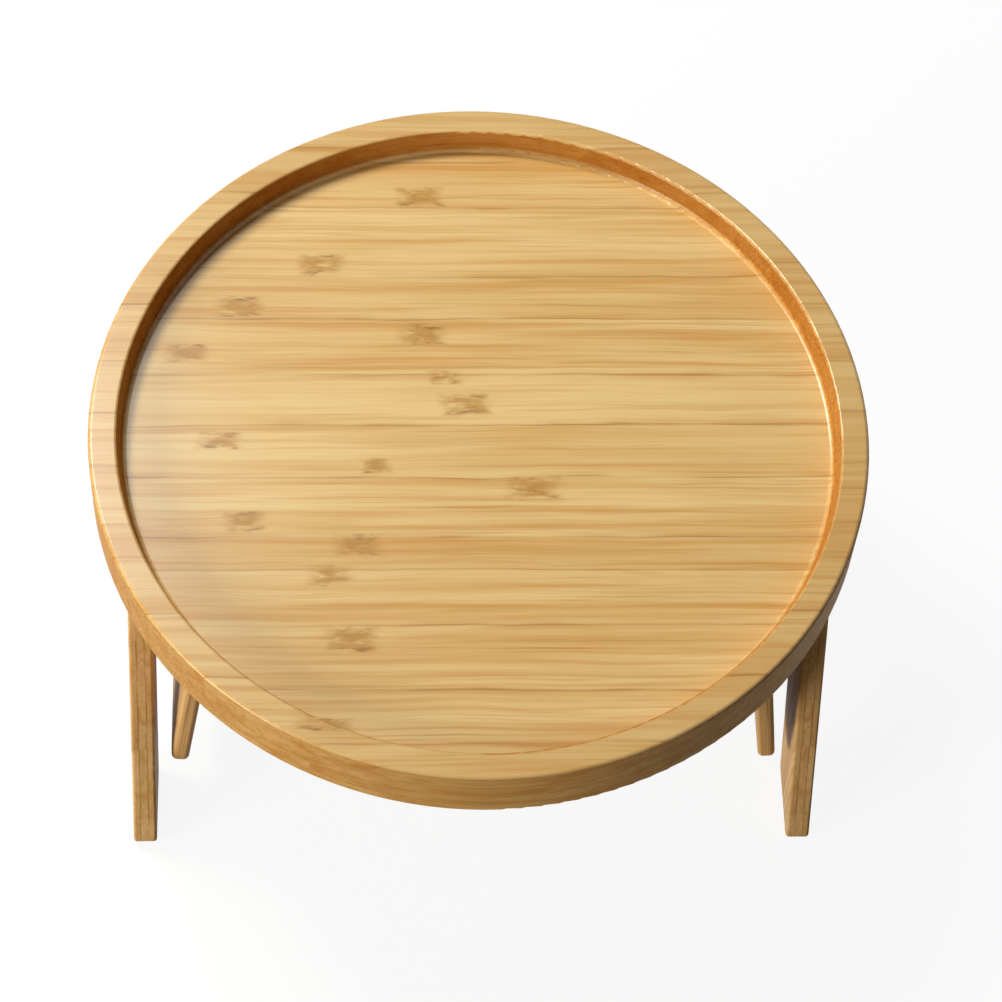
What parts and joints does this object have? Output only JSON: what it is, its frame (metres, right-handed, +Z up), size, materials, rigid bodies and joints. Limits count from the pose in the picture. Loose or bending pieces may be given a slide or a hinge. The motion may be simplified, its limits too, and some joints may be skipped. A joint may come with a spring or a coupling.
{
  "type": "sofa arm tray",
  "caption": "Round bamboo tray on two legged side frames, with hinged grip boards underneath that reach down beside a sofa's arm.",
  "frame": {"origin": "centre of the overall box at the level of the feet", "axes": "+X across the sofa's arm, +Y along the arm away from the viewer, +Z up"},
  "size_m": [0.3, 0.3, 0.15],
  "materials": {
    "bamboo_slab": "laminated bamboo under satin clear lacquer",
    "bamboo_board": "laminated bamboo board under satin clear lacquer",
    "foam_rubber": "closed-cell foam rubber, matt",
    "zinc_steel": "zinc-plated steel",
    "pin_steel": "bright drawn steel",
    "spring_steel": "oiled spring wire"
  },
  "bodies": {
    "frame": {"tray": "bamboo_slab", "left_side_frame": "bamboo_board", "left_cleat": "bamboo_board", "left_cleat_screws": "zinc_steel", "left_tray_leaf_screws": "zinc_steel", "left_front_tray_leaf": "zinc_steel", "left_front_pin": "pin_steel", "left_back_tray_leaf": "zinc_steel", "left_back_pin": "pin_steel", "right_side_frame": "bamboo_board", "right_cleat": "bamboo_board", "right_cleat_screws": "zinc_steel", "right_tray_leaf_screws": "zinc_steel", "right_front_tray_leaf": "zinc_steel", "right_front_pin": "pin_steel", "right_back_tray_leaf": "zinc_steel", "right_back_pin": "pin_steel"},
    "left_flap": {"left_flap": "bamboo_board", "left_flap_pad": "foam_rubber", "left_flap_leaf_screws": "zinc_steel", "left_front_flap_leaf": "zinc_steel", "left_front_coil": "spring_steel", "left_back_flap_leaf": "zinc_steel", "left_back_coil": "spring_steel"},
    "right_flap": {"right_flap": "bamboo_board", "right_flap_pad": "foam_rubber", "right_flap_leaf_screws": "zinc_steel", "right_front_flap_leaf": "zinc_steel", "right_front_coil": "spring_steel", "right_back_flap_leaf": "zinc_steel", "right_back_coil": "spring_steel"}
  },
  "joints": [
    {"name": "left_flap_hinge", "type": "hinge", "parent": "frame", "child": "left_flap", "pos_m": [-0.1002, 0, 0.11862], "axis": [0, -1, 0], "range_deg": [0, 95]},
    {"name": "right_flap_hinge", "type": "hinge", "parent": "frame", "child": "right_flap", "pos_m": [0.1002, 0, 0.11862], "axis": [0, 1, 0], "range_deg": [0, 95]}
  ]
}
